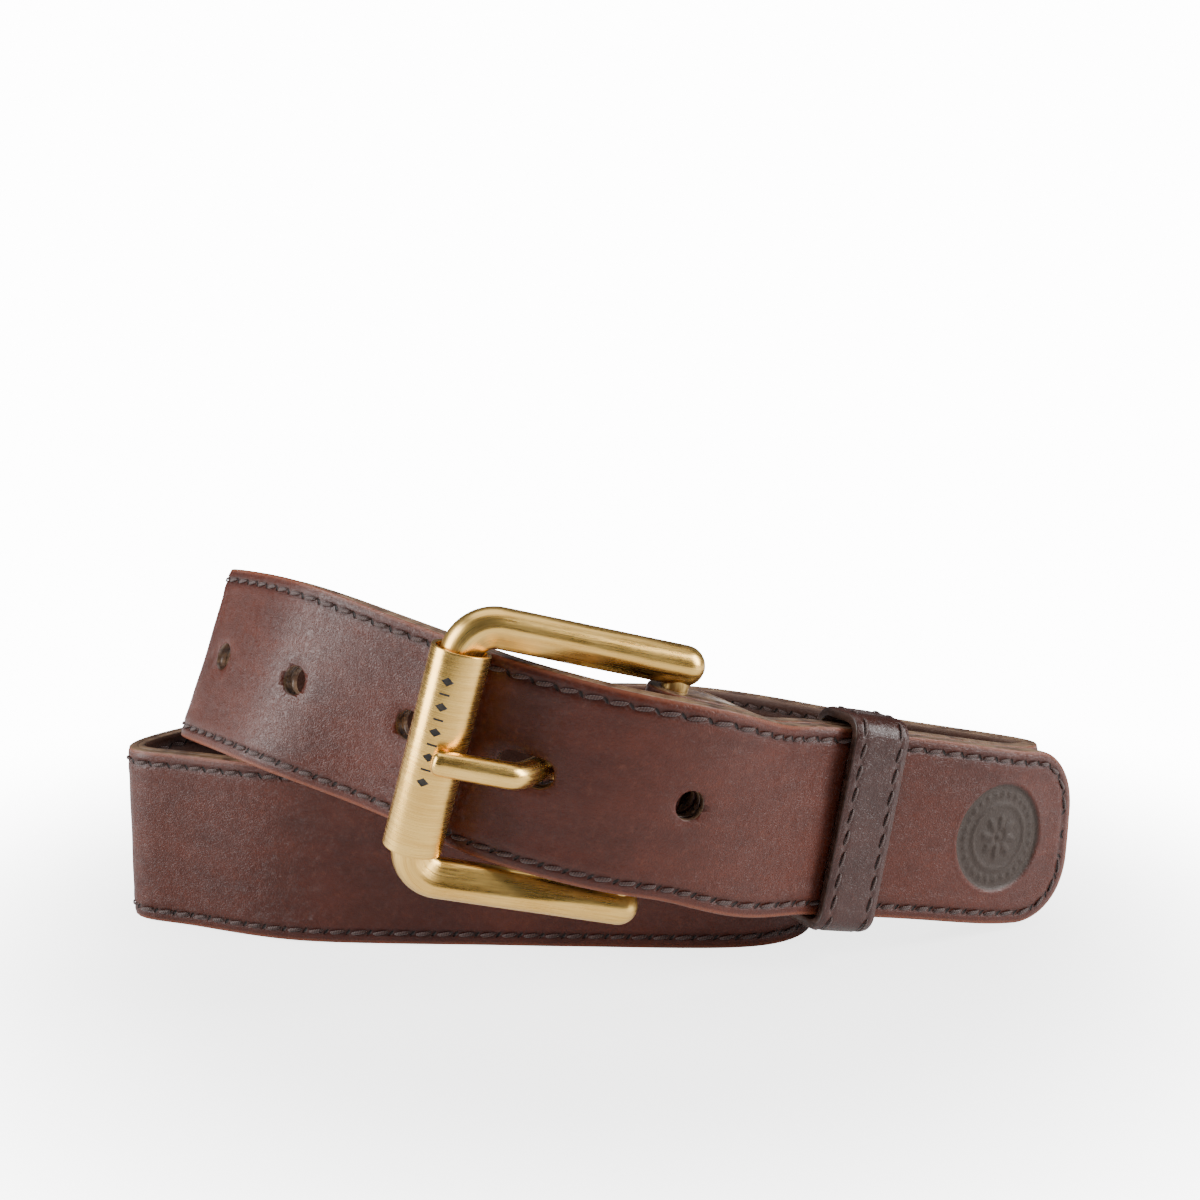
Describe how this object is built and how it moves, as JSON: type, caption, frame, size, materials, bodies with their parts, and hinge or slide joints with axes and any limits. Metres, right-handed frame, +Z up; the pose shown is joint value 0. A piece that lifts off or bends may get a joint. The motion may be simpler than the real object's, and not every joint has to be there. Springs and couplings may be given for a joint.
{
  "type": "leather belt",
  "caption": "Leather dress belt with a roller buckle, buckled and coiled in two turns on its edge.",
  "frame": {"origin": "on the supporting surface under the middle of the coil's box", "axes": "+X along the coil's length to the right as the buckle is faced, +Y away from the buckle, +Z up"},
  "size_m": [0.1855, 0.1189, 0.0692],
  "materials": {
    "grain_leather": "satin, fine grain",
    "lining_leather": "matt, smooth",
    "keeper_leather": "polished, fine grain",
    "thread": "waxed thread",
    "brushed_brass": "brushed, satin",
    "staple_wire": "drawn wire"
  },
  "bodies": {
    "strap": {"grain_strap": "grain_leather", "lining_strap": "lining_leather", "outer_stitching": "thread", "inner_stitching": "thread", "fold_stitching": "thread"},
    "frame": {"buckle_frame": "brushed_brass", "pivot_bar": "brushed_brass"},
    "roller": {"roller": "brushed_brass"},
    "prong": {"prong": "brushed_brass"},
    "keeper": {"keeper_loop": "keeper_leather", "keeper_stitching": "thread", "keeper_staple": "staple_wire"}
  },
  "joints": [
    {"name": "frame_swing", "type": "hinge", "parent": "strap", "child": "frame", "pos_m": [0.00794, -0.04093, 0.0371], "axis": [0.2492, -0.02, 0.9682], "range_deg": [0, 1.5]},
    {"name": "roller_spin", "type": "hinge", "parent": "frame", "child": "roller", "pos_m": [-0.02637, -0.05028, 0.04574], "axis": [0.2492, -0.02, 0.9682], "continuous": true},
    {"name": "prong_lift", "type": "hinge", "parent": "frame", "child": "prong", "pos_m": [0.00794, -0.04093, 0.0371], "axis": [0.2492, -0.02, 0.9682], "range_deg": [0, 1]},
    {"name": "keeper_slide", "type": "slide", "parent": "strap", "child": "keeper", "axis": [0.8915, 0.4052, -0.2025], "range_m": [-0.002, 0.002]}
  ]
}
